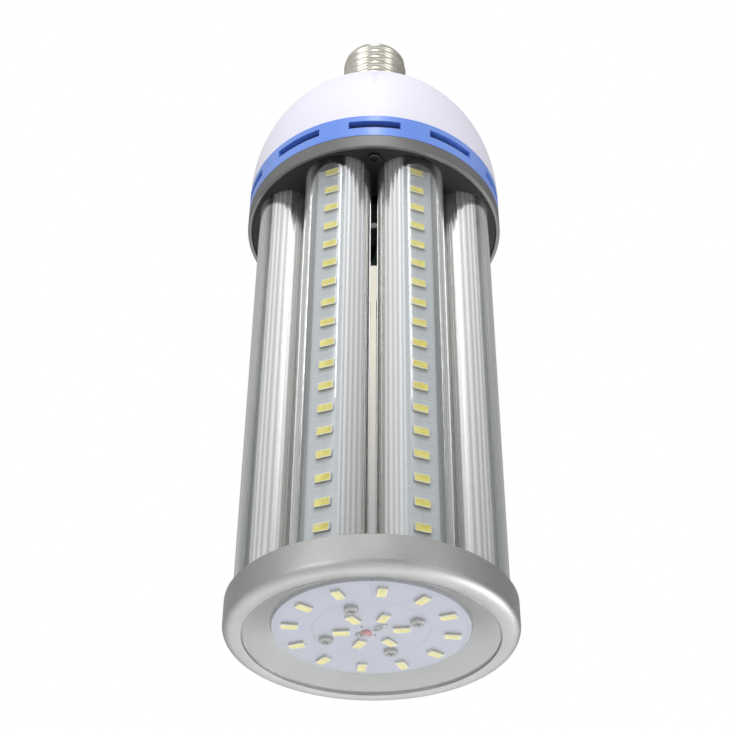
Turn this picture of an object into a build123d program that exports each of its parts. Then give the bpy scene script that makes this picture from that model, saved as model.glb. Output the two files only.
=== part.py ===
from build123d import *
import math
import os

# High-output LED lamp: an E27 screw cap on a domed driver housing, a vented ring with a small fan behind
# it, and eight round LED bars that stand in a ring between an aluminium collar and an aluminium foot.
# Millimetres, +Z up to the cap, origin at the centre of the foot's rim, -Y to the camera.

os.makedirs("parts", exist_ok=True)

# clearances shared by all fits
slip_gap = 0.1
screw_gap = 0.2
bearing_gap = 0.04
blade_gap = 0.9

# foot: turned aluminium disc with a rim, a stepped seat for the lens and a cone down to the board
foot_radius = 46.5
foot_height = 11.2
foot_edge_round = 3.0
rim_width = 6.1
rim_inner_radius = foot_radius - rim_width
lens_seat_width = 1.1
lens_thickness = 1.5
lens_inset = 0.35
lens_chamfer = 0.3
board_margin = 9.2
end_board_radius = rim_inner_radius - board_margin
end_board_thickness = 1.6
end_board_face = 3.8
cone_end_height = end_board_face + end_board_thickness / 2
foot_back_thickness = 3.0
foot_relief_floor = end_board_face + end_board_thickness + foot_back_thickness
lead_hole_radius = 2.2
board_lead_radius = 0.6
board_lead_offset = 1.05
lead_direction = -39.2
lead_tail = 2.6
pad_reach = 5.0
pad_radius = 1.5
pad_height = 1.3

# the ring of bars
bar_count = 8
bar_angle_step = 360 / bar_count
bar_first_angle = bar_angle_step / 2
bar_gap = 2.29
bar_inset = 0.15
bar_length = 159.25
bar_share = math.sin(math.pi / bar_count)
bar_ring_radius = (foot_radius - bar_inset + bar_gap / 2) / (1 + bar_share)
bar_radius = bar_ring_radius * bar_share - bar_gap / 2
bar_top = foot_height + bar_length

# section of the extruded bar, measured from the bar's own centre
bar_wall = 1.7
bar_wall_inner = bar_radius - bar_wall
bar_cover_angle = 74.5
rib_angles = (76, 81, 86, 91, 96, 101)
rib_step = 5.0
rib_half_angle = 1.4
rib_flank = 0.4
rib_depth = 0.55
deck_face = 3.61
deck_thickness = 1.8
lip_gap = 0.3
lip_thickness = 0.9
lip_outer = bar_wall_inner - lip_gap
lip_inner = lip_outer - lip_thickness
lip_angle = 60.0
boss_radius = 3.4
boss_sink = 0.25
boss_offset = bar_wall_inner - boss_radius + boss_sink
channel_radius = 1.3
channel_slit = 1.1
cover_thickness = 1.1
cover_flat = 1.1
cover_crown = bar_radius - cover_flat
hook_depth = 0.75
hook_angle = 69.0
cover_edge_gap = 0.6

# LED strips and LED packages
strip_width = 11.7
strip_thickness = 1.0
strip_margin = 3.0
strip_bottom = foot_height + strip_margin
strip_top = bar_top - 0.25
strip_led_count = 18
first_led_margin = 4.37
last_led_margin = 2.421
led_first_height = strip_bottom + first_led_margin
led_pitch = (strip_top - last_led_margin - led_first_height) / (strip_led_count - 1)
led_length = 5.6
led_width = 3.0
led_height = 0.9
window_margin = 0.4
window_depth = 0.12
outer_led_count = 12
outer_led_margin = 5.5
outer_led_circle = end_board_radius - outer_led_margin
outer_led_phase = 6.8
inner_led_count = 6
inner_led_circle = 9.53
inner_led_phase = 23.1

# screws
m3_radius = 1.5
m3_core = 1.25
m3_head_radius = 2.8
m3_head_height = 1.9
small_radius = 1.2
small_head_radius = 2.3
small_head_height = 1.3
board_screw_head = 1.9
fan_screw_head_height = 1.1
screw_grip = 8.0
cross_width = 0.7
cross_depth = 0.6
end_screw_margin = 6.07
end_screw_circle = inner_led_circle + end_screw_margin
end_screw_count = 4
end_screw_phase = -23.6
end_screw_depth = 2.6

# head plate, collar and vent ring, whose spigot leaves room for the fan's ears
fan_ring_gap = 2.1
fan_ring_wall = 2.4
ear_reach = 2.1
ear_radius = 2.5
ear_gap = 0.3
head_plate_thickness = 3.0
collar_step = 1.8
collar_wall = 1.3
collar_overlap = 0.6
collar_flange = 2.01
vent_wall = 2.1
vent_height = 10.0
spigot_rise = 1.54
duct_margin = 4.9
plate_top = bar_top + head_plate_thickness
collar_radius = foot_radius + collar_step
collar_inner = collar_radius - collar_wall
head_plate_radius = collar_inner - slip_gap
duct_radius = bar_ring_radius - boss_offset - duct_margin
relief_margin = 1.3
foot_relief_radius = duct_radius - relief_margin
collar_bottom = bar_top - collar_overlap
collar_top = plate_top + collar_flange
vent_wall_inner = collar_radius - vent_wall
spigot_radius = vent_wall_inner - slip_gap
screw_reach = bar_ring_radius - boss_offset + m3_head_radius
fan_ring_inner = screw_reach + fan_ring_gap
fan_ring_outer = fan_ring_inner + fan_ring_wall
ear_circle = fan_ring_outer + ear_reach
spigot_inner = ear_circle + ear_radius + ear_gap
vent_ring_top = collar_top + vent_height
vent_floor_top = collar_top + spigot_rise
slot_count = 10
slot_angle = 22.5
slot_rise = 3.94
slot_height = 3.5
slot_bottom = collar_top + slot_rise
slot_top = slot_bottom + slot_height
collar_screw_margin = 2.6
collar_screw_circle = spigot_inner + collar_screw_margin
collar_screw_count = 4

# fan
fan_height = 10.6
fan_base_thickness = 1.6
fan_base_radius = 12.0
fan_spoke_count = 3
fan_spoke_width = 3.0
ear_height = 2.6
fan_screw_count = 4
fan_screw_radius = 1.0
fan_screw_head_radius = 1.9
hub_radius = 11.6
hub_wall = 1.2
hub_height = 5.6
blade_count = 7
blade_thickness = 1.3
blade_height = 4.6
blade_tilt = 36
shaft_radius = 1.5
bearing_outer = 3.0
bearing_length = 4.6
stator_radius = 8.6
stator_height = 3.2

# driver housing, board and parts
dome_step = 0.1
dome_skirt = 1.64
dome_radius = collar_radius - dome_step
dome_centre = vent_ring_top + dome_skirt
dome_height = 56.1
dome_wall = 2.2
dome_steps = 12
neck_radius = 13.9
neck_inner = 9.5
ledge_rise = 0.94
ledge_height = 2.1
ledge_width = 6.0
driver_board_gap = 0.6
ledge_bottom = vent_ring_top + ledge_rise
ledge_top = ledge_bottom + ledge_height
ledge_inner = dome_radius - dome_wall - ledge_width
driver_board_radius = dome_radius - dome_wall - driver_board_gap
driver_board_thickness = 1.6
board_screw_margin = 2.4
board_screw_circle = driver_board_radius - board_screw_margin
board_screw_count = 4
large_capacitor = (9.0, 26.0, 18.0, 12.0)
small_capacitor = (6.3, 17.0, 24.0, -12.0)
capacitor_round = 0.8
transformer_size = (22.0, 16.0, 18.0)
transformer_place = (-16.0, 13.0)
winding_radius = 9.6
winding_height = 11.0
choke_radius = 9.5
choke_hole = 4.0
choke_height = 8.0
choke_place = (-14.0, -16.0)

# screw cap, to the standard E27 thread
neck_length = 3.3
cap_bottom = dome_centre + dome_height + neck_length
skirt_radius = 13.1
skirt_height = 4.0
thread_root = 12.05
thread_round = 1.0
thread_crest = 13.15
thread_pitch = 3.629
thread_turns = 4.6
cap_inner = 11.65
cap_height = 23.5
cap_top = cap_bottom + cap_height
cap_flange = 1.0
cap_spigot_length = 15.5
cap_spigot_top = cap_bottom + cap_spigot_length
insulator_radius = 8.5
insulator_flange = 11.0
insulator_rise = 2.6
insulator_top = cap_top + insulator_rise
contact_radius = 4.8
contact_height = 2.0
lead_radius = 0.9


def turned(radius, bottom, top):
    """Adds a disc between two heights to the part being built."""
    with BuildSketch(Plane.XY.offset(bottom)) as disc:
        Circle(radius)
    extrude(disc.sketch, amount=top - bottom)


def bored(radius, bottom, top):
    """Cuts a round hole between two heights from the part being built."""
    with BuildSketch(Plane.XY.offset(bottom)) as hole:
        Circle(radius)
    extrude(hole.sketch, amount=top - bottom, mode=Mode.SUBTRACT)


def ring_of_holes(radius, circle, count, start, bottom, top):
    """Cuts a ring of round holes between two heights."""
    with BuildSketch(Plane.XY.offset(bottom)) as holes:
        with PolarLocations(circle, count, start_angle=start):
            Circle(radius)
    extrude(holes.sketch, amount=top - bottom, mode=Mode.SUBTRACT)


def polar(radius, degrees):
    """Point of the bar's section: angle 0 points away from the lamp's axis, 90 across the bar."""
    angle = math.radians(degrees)
    return (radius * math.cos(angle), radius * math.sin(angle))


def arc_points(radius, first, last, count):
    """Evenly spaced points along an arc of the bar's section."""
    step = (last - first) / (count - 1)
    return [polar(radius, first + step * i) for i in range(count)]


def bar_place(index):
    """Centre and turn of one bar; the bar's own X axis points away from the lamp's axis."""
    angle = bar_first_angle + index * bar_angle_step - 90
    x = bar_ring_radius * math.cos(math.radians(angle))
    y = bar_ring_radius * math.sin(math.radians(angle))
    return Location((x, y, 0), (0, 0, angle))


def pan_screw(shank_radius, head_radius, head_height, length):
    """Pan-head screw with a cross recess: head above the origin, shank down along -Z."""
    with BuildPart() as screw:
        with BuildSketch() as head:
            Circle(head_radius)
        extrude(head.sketch, amount=head_height)
        fillet(screw.edges().group_by(Axis.Z)[-1], head_height * 0.35)
        with BuildSketch() as shank:
            Circle(shank_radius)
        extrude(shank.sketch, amount=-length)
        with BuildSketch(Plane.XY.offset(head_height)) as recess:
            Rectangle(head_radius * 1.15, cross_width)
            Rectangle(cross_width, head_radius * 1.15)
        extrude(recess.sketch, amount=-cross_depth, mode=Mode.SUBTRACT)
    return screw.part


def ring_planes(circle, count, start, height, upward):
    """Places for like pieces in a ring round the lamp's axis; upward False turns them over."""
    places = []
    for k in range(count):
        angle = math.radians(start + k * 360 / count)
        turn = (0, 0, math.degrees(angle)) if upward else (180, 0, -math.degrees(angle))
        places.append(Location((circle * math.cos(angle), circle * math.sin(angle), height), turn))
    return places


# foot of the lamp
end_board_back = end_board_face + end_board_thickness
lens_back = lens_inset + lens_thickness
lens_radius = rim_inner_radius - slip_gap
cone_start_radius = rim_inner_radius - lens_seat_width
board_pocket_radius = end_board_radius + slip_gap + screw_gap
boss_circle = bar_ring_radius - boss_offset

with BuildPart() as end_cap:
    with BuildSketch(Plane.XZ):
        with BuildLine():
            Polyline((0, end_board_back), (board_pocket_radius, end_board_back),
                     (board_pocket_radius, cone_end_height), (cone_start_radius, lens_back),
                     (rim_inner_radius, lens_back), (rim_inner_radius, 0),
                     (foot_radius, 0), (foot_radius, foot_height), (foot_relief_radius, foot_height),
                     (foot_relief_radius, foot_relief_floor), (0, foot_relief_floor),
                     (0, end_board_back))
        make_face()
        corner = [v for v in vertices() if abs(v.X - foot_radius) < 0.01 and abs(v.Z) < 0.01]
        fillet(corner, foot_edge_round)
    revolve(axis=Axis.Z)
    head_pocket_top = end_board_back + m3_head_height + screw_gap
    ring_of_holes(m3_radius + screw_gap, boss_circle, bar_count, bar_first_angle, 0, foot_height)
    ring_of_holes(m3_head_radius + screw_gap, boss_circle, bar_count, bar_first_angle, 0, head_pocket_top)
    ring_of_holes(small_radius, end_screw_circle, end_screw_count, end_screw_phase - 90,
                  end_board_back, end_board_back + end_screw_depth)
    bored(lead_hole_radius, end_board_back, foot_relief_floor)
end_cap.part.label = "end_cap"
export_step(end_cap.part, "parts/end_cap.step")

with BuildPart() as end_lens:
    turned(lens_radius, lens_inset, lens_back)
    chamfer(end_lens.edges().group_by(Axis.Z)[0], lens_chamfer)
end_lens.part.label = "end_lens"
export_step(end_lens.part, "parts/end_lens.step")

with BuildPart() as end_board:
    turned(end_board_radius, end_board_face, end_board_back)
    ring_of_holes(small_radius + screw_gap, end_screw_circle, end_screw_count, end_screw_phase - 90,
                  end_board_face, end_board_back)
    bored(lead_hole_radius - screw_gap, end_board_face, end_board_back)
end_board.part.label = "end_board"
export_step(end_board.part, "parts/end_board.step")


# one LED package: lies on z = 0, long side along X, with a shallow window in its top
with BuildPart() as led:
    with BuildSketch():
        Rectangle(led_length, led_width)
    extrude(amount=led_height)
    with BuildSketch(Plane.XY.offset(led_height)):
        Rectangle(led_length - 2 * window_margin, led_width - 2 * window_margin)
    extrude(amount=-window_depth, mode=Mode.SUBTRACT)

with BuildPart() as end_leds:
    with Locations(*ring_planes(outer_led_circle, outer_led_count, outer_led_phase - 90,
                                end_board_face, False)):
        add(led.part)
    with Locations(*ring_planes(inner_led_circle, inner_led_count, inner_led_phase - 90,
                                end_board_face, False)):
        add(led.part)
end_leds.part.label = "end_leds"
export_step(end_leds.part, "parts/end_leds.step")

end_screw = pan_screw(small_radius - slip_gap, small_head_radius, small_head_height,
                      end_board_thickness + end_screw_depth - screw_gap)
with BuildPart() as end_board_screws:
    with Locations(*ring_planes(end_screw_circle, end_screw_count, end_screw_phase - 90,
                                end_board_face, False)):
        add(end_screw)
end_board_screws.part.label = "end_board_screws"
export_step(end_board_screws.part, "parts/end_board_screws.step")

# leads of the end board: they come through the centre hole and lie on the board to their solder pads
lead_run_height = end_board_face - board_lead_radius
lead_way = math.radians(lead_direction)
with BuildPart() as end_board_leads:
    for side in (-1, 1):
        way_x = side * math.cos(lead_way)
        way_y = side * math.sin(lead_way)
        start = (board_lead_offset * way_x, board_lead_offset * way_y)
        run_plane = Plane(origin=(start[0], start[1], lead_run_height), x_dir=(0, 0, 1),
                          z_dir=(way_x, way_y, 0))
        with BuildSketch(Plane.XY.offset(lead_run_height)):
            with Locations(start):
                Circle(board_lead_radius)
        extrude(amount=end_board_thickness + lead_tail)
        with BuildSketch(run_plane):
            Circle(board_lead_radius)
        extrude(amount=pad_reach - board_lead_offset)
        with Locations((start[0], start[1], lead_run_height)):
            Sphere(board_lead_radius)
        with BuildSketch(Plane.XY.offset(end_board_face)):
            with Locations((pad_reach * way_x, pad_reach * way_y)):
                Circle(pad_radius)
        extrude(amount=-pad_height, taper=22)
end_board_leads.part.label = "end_board_leads"
export_step(end_board_leads.part, "parts/end_board_leads.step")

# bars: extruded aluminium half-round with ribs, a deck for the strip, lips and a screw channel
bar_length = bar_top - foot_height


deck_low = deck_face - deck_thickness
lip_foot = math.degrees(math.acos(deck_face / lip_inner))
hollow_start = math.degrees(math.acos(deck_low / bar_wall_inner))
back_start = rib_angles[-1] + rib_step - rib_half_angle


def rib_points():
    """Ribbed side of the extrusion, from the cover seat down to the smooth back."""
    points = [polar(bar_radius, bar_cover_angle)]
    for centre in rib_angles:
        low = centre + rib_half_angle + rib_flank
        points.append(polar(bar_radius, centre + rib_half_angle))
        points.append(polar(bar_radius - rib_depth, low))
        points.append(polar(bar_radius - rib_depth, centre + rib_step - rib_half_angle - rib_flank))
        points.append(polar(bar_radius, centre + rib_step - rib_half_angle))
    return points


def mirrored(points):
    """The same points on the other side of the bar."""
    return [(x, -y) for x, y in points]


with BuildPart() as bar_blank:
    with BuildSketch(Plane.XY.offset(foot_height)):
        with BuildLine():
            ribs = rib_points()
            Polyline(*ribs)
            Polyline(*mirrored(ribs))
            ThreePointArc(polar(bar_radius, back_start), polar(bar_radius, 180),
                          polar(bar_radius, -back_start))
            for side in (1, -1):
                Line(polar(bar_radius, side * bar_cover_angle), polar(lip_outer, side * bar_cover_angle))
                ThreePointArc(polar(lip_outer, side * bar_cover_angle),
                              polar(lip_outer, side * (bar_cover_angle + lip_angle) / 2),
                              polar(lip_outer, side * lip_angle))
                Line(polar(lip_outer, side * lip_angle), polar(lip_inner, side * lip_angle))
                ThreePointArc(polar(lip_inner, side * lip_angle),
                              polar(lip_inner, side * (lip_angle + lip_foot) / 2),
                              polar(lip_inner, side * lip_foot))
            Line(polar(lip_inner, lip_foot), polar(lip_inner, -lip_foot))
        make_face()
        with BuildLine():
            ThreePointArc(polar(bar_wall_inner, hollow_start), polar(bar_wall_inner, 180),
                          polar(bar_wall_inner, -hollow_start))
            Line(polar(bar_wall_inner, -hollow_start), polar(bar_wall_inner, hollow_start))
        make_face(mode=Mode.SUBTRACT)
        with Locations((-boss_offset, 0)):
            Circle(boss_radius)
        with Locations((-boss_offset, 0)):
            Circle(channel_radius, mode=Mode.SUBTRACT)
        with Locations((-boss_offset + boss_radius, 0)):
            Rectangle(2 * boss_radius, channel_slit, mode=Mode.SUBTRACT)
    extrude(amount=bar_length)

# clear cover: an arc clipped over the lips, its hooks standing in the seats beside them
cover_edge = bar_cover_angle - cover_edge_gap
cover_inner = bar_radius - cover_thickness
hook_inner = cover_inner - hook_depth
with BuildPart() as cover_blank:
    with BuildSketch(Plane.XY.offset(foot_height)):
        with BuildLine():
            ThreePointArc(polar(bar_radius, -cover_edge), (cover_crown, 0), polar(bar_radius, cover_edge))
            for side in (1, -1):
                Polyline(polar(bar_radius, side * cover_edge), polar(hook_inner, side * cover_edge),
                         polar(hook_inner, side * hook_angle), polar(cover_inner, side * hook_angle))
            ThreePointArc(polar(cover_inner, -hook_angle), (cover_crown - cover_thickness, 0),
                          polar(cover_inner, hook_angle))
        make_face()
    extrude(amount=bar_length)

with BuildPart() as strip_blank:
    with BuildSketch(Plane.XY.offset(strip_bottom)):
        with Locations((deck_face + strip_thickness / 2, 0)):
            Rectangle(strip_thickness, strip_width)
    extrude(amount=strip_top - strip_bottom)

with BuildPart() as strip_leds_blank:
    strip_face = deck_face + strip_thickness
    for i in range(strip_led_count):
        with Locations(Location((strip_face, 0, led_first_height + i * led_pitch), (90, 90, 0))):
            add(led.part)

for i in range(bar_count):
    number = str(i + 1)
    with BuildPart() as heat_sink_bar:
        with Locations(bar_place(i)):
            add(bar_blank.part)
    heat_sink_bar.part.label = "heat_sink_bar_" + number
    export_step(heat_sink_bar.part, "parts/heat_sink_bar_" + number + ".step")
    with BuildPart() as led_strip:
        with Locations(bar_place(i)):
            add(strip_blank.part)
    led_strip.part.label = "led_strip_" + number
    export_step(led_strip.part, "parts/led_strip_" + number + ".step")
    with BuildPart() as strip_leds:
        with Locations(bar_place(i)):
            add(strip_leds_blank.part)
    strip_leds.part.label = "strip_leds_" + number
    export_step(strip_leds.part, "parts/strip_leds_" + number + ".step")
    with BuildPart() as strip_cover:
        with Locations(bar_place(i)):
            add(cover_blank.part)
    strip_cover.part.label = "strip_cover_" + number
    export_step(strip_cover.part, "parts/strip_cover_" + number + ".step")

# screws that hold the bars at both ends, driven into the channels of the extrusions
foot_web = foot_height - head_pocket_top
foot_screw = pan_screw(m3_core, m3_head_radius, m3_head_height, foot_web + screw_grip)
with BuildPart() as foot_screws:
    with Locations(*ring_planes(boss_circle, bar_count, bar_first_angle, head_pocket_top, False)):
        add(foot_screw)
foot_screws.part.label = "foot_screws"
export_step(foot_screws.part, "parts/foot_screws.step")

head_screw = pan_screw(m3_core, m3_head_radius, m3_head_height, head_plate_thickness + screw_grip)
with BuildPart() as head_screws:
    with Locations(*ring_planes(boss_circle, bar_count, bar_first_angle, plate_top, True)):
        add(head_screw)
head_screws.part.label = "head_screws"
export_step(head_screws.part, "parts/head_screws.step")

# head plate over the bars
with BuildPart() as head_plate:
    turned(head_plate_radius, bar_top, plate_top)
    bored(duct_radius, bar_top, plate_top)
    ring_of_holes(m3_radius + screw_gap, boss_circle, bar_count, bar_first_angle, bar_top, plate_top)
    ring_of_holes(small_radius + screw_gap, collar_screw_circle, collar_screw_count, 0,
                  bar_top, plate_top)
    ring_of_holes(fan_screw_radius, ear_circle, fan_screw_count, 45, plate_top - 2.2, plate_top)
head_plate.part.label = "head_plate"
export_step(head_plate.part, "parts/head_plate.step")

with BuildPart() as collar_ring:
    turned(collar_radius, collar_bottom, collar_top)
    bored(collar_inner, collar_bottom, plate_top)
    bored(spigot_radius + slip_gap, plate_top, collar_top)
    chamfer(collar_ring.edges().filter_by(GeomType.CIRCLE).group_by(SortBy.RADIUS)[-1], 0.3)
collar_ring.part.label = "collar_ring"
export_step(collar_ring.part, "parts/collar_ring.step")

with BuildPart() as vent_ring:
    turned(spigot_radius, plate_top, vent_floor_top)
    turned(collar_radius, collar_top, vent_ring_top)
    bored(spigot_inner, plate_top, vent_floor_top)
    bored(vent_wall_inner, vent_floor_top, vent_ring_top)
    ring_of_holes(small_radius, collar_screw_circle, collar_screw_count, 0, plate_top, vent_floor_top)
    with BuildSketch(Plane.XY.offset(slot_bottom)):
        with BuildLine():
            reach = collar_radius + 3
            half_slot = math.radians(slot_angle / 2)
            Polyline((0, 0), (reach * math.cos(half_slot), -reach * math.sin(half_slot)),
                     (reach * 1.02, 0),
                     (reach * math.cos(half_slot), reach * math.sin(half_slot)), close=True)
        slot_face = make_face(mode=Mode.PRIVATE)
        with PolarLocations(0, slot_count, start_angle=-90):
            add(slot_face)
    extrude(amount=slot_top - slot_bottom, mode=Mode.SUBTRACT)
vent_ring.part.label = "vent_ring"
export_step(vent_ring.part, "parts/vent_ring.step")

collar_screw = pan_screw(small_radius - slip_gap, small_head_radius, small_head_height,
                         vent_floor_top - bar_top - 0.8)
with BuildPart() as collar_screws:
    with Locations(*ring_planes(collar_screw_circle, collar_screw_count, 0, bar_top, False)):
        add(collar_screw)
collar_screws.part.label = "collar_screws"
export_step(collar_screws.part, "parts/collar_screws.step")

# fan: frame with a motor base on spokes, stator, and a rotor that turns on its shaft
fan_top = plate_top + fan_height
base_bottom = fan_top - fan_base_thickness
with BuildPart() as fan_frame:
    turned(fan_ring_outer, plate_top, fan_top)
    with BuildSketch(Plane.XY.offset(plate_top)):
        with PolarLocations(ear_circle, fan_screw_count, start_angle=45):
            Circle(ear_radius)
    extrude(amount=ear_height)
    bored(fan_ring_inner, plate_top, fan_top)
    turned(fan_base_radius, base_bottom, fan_top)
    with BuildSketch(Plane.XY.offset(base_bottom)):
        with PolarLocations((fan_base_radius + fan_ring_inner) / 2, fan_spoke_count):
            Rectangle(fan_ring_inner - fan_base_radius + 2, fan_spoke_width)
    extrude(amount=fan_base_thickness)
    turned(bearing_outer, base_bottom - bearing_length, base_bottom)
    bored(shaft_radius + bearing_gap, base_bottom - bearing_length, base_bottom)
    ring_of_holes(fan_screw_radius + screw_gap, ear_circle, fan_screw_count, 45,
                  plate_top, plate_top + ear_height)
fan_frame.part.label = "fan_frame"
export_step(fan_frame.part, "parts/fan_frame.step")

fan_screw = pan_screw(fan_screw_radius - slip_gap, fan_screw_head_radius, fan_screw_head_height,
                      ear_height + 2.0)
with BuildPart() as fan_screws:
    with Locations(*ring_planes(ear_circle, fan_screw_count, 45, plate_top + ear_height, True)):
        add(fan_screw)
fan_screws.part.label = "fan_screws"
export_step(fan_screws.part, "parts/fan_screws.step")

stator_top = base_bottom
with BuildPart() as fan_stator:
    turned(stator_radius, stator_top - stator_height, stator_top)
    bored(bearing_outer, stator_top - stator_height, stator_top)
    ring_of_holes(1.1, stator_radius, 6, 0, stator_top - stator_height, stator_top)
fan_stator.part.label = "fan_stator"
export_step(fan_stator.part, "parts/fan_stator.step")

hub_top = base_bottom - 0.5
hub_bottom = hub_top - hub_height
blade_outer = fan_ring_inner - blade_gap
with BuildPart() as fan_rotor:
    turned(hub_radius, hub_bottom, hub_top)
    bored(hub_radius - hub_wall, hub_bottom + hub_wall, hub_top)
    bored(shaft_radius, hub_bottom, hub_bottom + hub_wall)
    for k in range(blade_count):
        with BuildSketch(Plane.YZ.offset(hub_radius - hub_wall / 2)):
            with Locations(Location((0, hub_bottom + hub_height / 2), blade_tilt)):
                Rectangle(2 * blade_height, blade_thickness)
        blade = extrude(amount=blade_outer - hub_radius, mode=Mode.PRIVATE)
        with Locations(Location((0, 0, 0), (0, 0, k * 360 / blade_count))):
            add(blade)
fan_rotor.part.label = "fan_rotor"
export_step(fan_rotor.part, "parts/fan_rotor.step")

with BuildPart() as fan_shaft:
    turned(shaft_radius, hub_bottom, base_bottom)
fan_shaft.part.label = "fan_shaft"
export_step(fan_shaft.part, "parts/fan_shaft.step")

# driver housing: domed shell with a ledge for the board and a spigot inside the screw cap
dome_inner = dome_radius - dome_wall
outer_turn = math.degrees(math.acos(neck_radius / dome_radius))
inner_turn = math.degrees(math.acos(neck_inner / dome_inner))
outer_end = dome_centre + dome_height * math.sin(math.radians(outer_turn))
inner_height = dome_height - dome_wall
inner_end = dome_centre + inner_height * math.sin(math.radians(inner_turn))
ledge_turn = math.degrees(math.asin((ledge_top - dome_centre) / inner_height))
ledge_wall = dome_inner * math.cos(math.radians(ledge_turn))
spigot_fit = cap_inner - slip_gap


def dome_points(radius, height, first, last):
    """Points of an ellipse between two angles, for the dome's outer or inner outline."""
    points = []
    for i in range(dome_steps + 1):
        angle = math.radians(first + (last - first) * i / dome_steps)
        points.append((radius * math.cos(angle), dome_centre + height * math.sin(angle)))
    return points


with BuildPart() as driver_housing:
    with BuildSketch(Plane.XZ):
        with BuildLine():
            Polyline((ledge_wall, ledge_top), (ledge_inner, ledge_top), (ledge_inner, ledge_bottom),
                     (dome_inner, ledge_bottom), (dome_inner, vent_ring_top),
                     (dome_radius, vent_ring_top))
            Line((dome_radius, vent_ring_top), (dome_radius, dome_centre))
            Spline(*dome_points(dome_radius, dome_height, 0, outer_turn))
            Polyline((neck_radius, outer_end), (neck_radius, cap_bottom), (spigot_fit, cap_bottom),
                     (spigot_fit, cap_spigot_top), (neck_inner, cap_spigot_top), (neck_inner, inner_end))
            Spline(*dome_points(dome_inner, inner_height, ledge_turn, inner_turn))
        make_face()
    revolve(axis=Axis.Z)
    ring_of_holes(small_radius, board_screw_circle, board_screw_count, 45, ledge_bottom, ledge_top)
driver_housing.part.label = "driver_housing"
export_step(driver_housing.part, "parts/driver_housing.step")

board_top = ledge_top + driver_board_thickness
with BuildPart() as driver_board:
    turned(driver_board_radius, ledge_top, board_top)
    ring_of_holes(small_radius + screw_gap, board_screw_circle, board_screw_count, 45, ledge_top, board_top)
driver_board.part.label = "driver_board"
export_step(driver_board.part, "parts/driver_board.step")

board_screw = pan_screw(small_radius - slip_gap, board_screw_head, small_head_height,
                        driver_board_thickness + 1.8)
with BuildPart() as driver_board_screws:
    with Locations(*ring_planes(board_screw_circle, board_screw_count, 45, board_top, True)):
        add(board_screw)
driver_board_screws.part.label = "driver_board_screws"
export_step(driver_board_screws.part, "parts/driver_board_screws.step")

with BuildPart() as driver_capacitors:
    for radius, height, x, y in (large_capacitor, small_capacitor):
        with BuildSketch(Plane.XY.offset(board_top)):
            with Locations((x, y)):
                Circle(radius)
        extrude(amount=height)
        top_edges = [e for e in driver_capacitors.edges() if abs(e.center().Z - board_top - height) < 0.01]
        fillet(top_edges, capacitor_round)
driver_capacitors.part.label = "driver_capacitors"
export_step(driver_capacitors.part, "parts/driver_capacitors.step")

core_x, core_y = transformer_place
length, width, height = transformer_size
with BuildPart() as transformer:
    with BuildSketch(Plane.XY.offset(board_top)):
        with Locations((core_x, core_y)):
            Rectangle(length, width)
    extrude(amount=height)
    for side in (-1, 1):
        with BuildSketch(Plane.XY.offset(board_top + (height - winding_height) / 2)):
            with Locations((core_x, core_y + side * width / 2)):
                Circle(winding_radius - 3)
        extrude(amount=winding_height)
transformer.part.label = "driver_transformer"
export_step(transformer.part, "parts/driver_transformer.step")

with BuildPart() as choke:
    with BuildSketch(Plane.XY.offset(board_top)):
        with Locations(choke_place):
            Circle(choke_radius)
            Circle(choke_hole, mode=Mode.SUBTRACT)
    extrude(amount=choke_height)
    fillet(choke.edges().filter_by(GeomType.CIRCLE).group_by(Axis.Z)[-1], 1.5)
choke.part.label = "driver_choke"
export_step(choke.part, "parts/driver_choke.step")

# screw cap with its helical ridge, insulator and centre contact
thread_bottom = cap_bottom + skirt_height + thread_round + 0.3
thread_centre = thread_crest - thread_round
with BuildPart() as cap_shell:
    turned(thread_root, cap_bottom, cap_top)
    turned(skirt_radius, cap_bottom, cap_bottom + skirt_height)
    with BuildLine() as thread_path:
        Helix(thread_pitch, thread_pitch * thread_turns, thread_centre, center=(0, 0, thread_bottom))
    with BuildSketch(Plane(origin=thread_path.line @ 0, z_dir=thread_path.line % 0)):
        Circle(thread_round)
    sweep(path=thread_path.line, is_frenet=True)
    bored(cap_inner, cap_bottom, cap_top - cap_flange)
    bored(insulator_radius + slip_gap, cap_top - cap_flange, cap_top)
cap_shell.part.label = "cap_shell"
export_step(cap_shell.part, "parts/cap_shell.step")

with BuildPart() as cap_insulator:
    turned(insulator_flange, cap_top - cap_flange - 2, cap_top - cap_flange)
    with BuildSketch(Plane.XY.offset(cap_top - cap_flange)):
        Circle(insulator_radius)
    extrude(amount=insulator_top - cap_top + cap_flange, taper=18)
    bored(lead_radius + slip_gap, cap_top - cap_flange - 2, insulator_top)
cap_insulator.part.label = "cap_insulator"
export_step(cap_insulator.part, "parts/cap_insulator.step")

with BuildPart() as cap_contact:
    turned(contact_radius, insulator_top, insulator_top + contact_height)
    fillet(cap_contact.edges().group_by(Axis.Z)[-1], 1.2)
cap_contact.part.label = "cap_contact"
export_step(cap_contact.part, "parts/cap_contact.step")

with BuildPart() as cap_lead:
    turned(lead_radius, board_top, insulator_top)
cap_lead.part.label = "cap_lead"
export_step(cap_lead.part, "parts/cap_lead.step")
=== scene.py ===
import math

import bmesh
import bpy
import numpy as np
from mathutils import Matrix, Vector
from mathutils.geometry import tessellate_polygon


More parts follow.
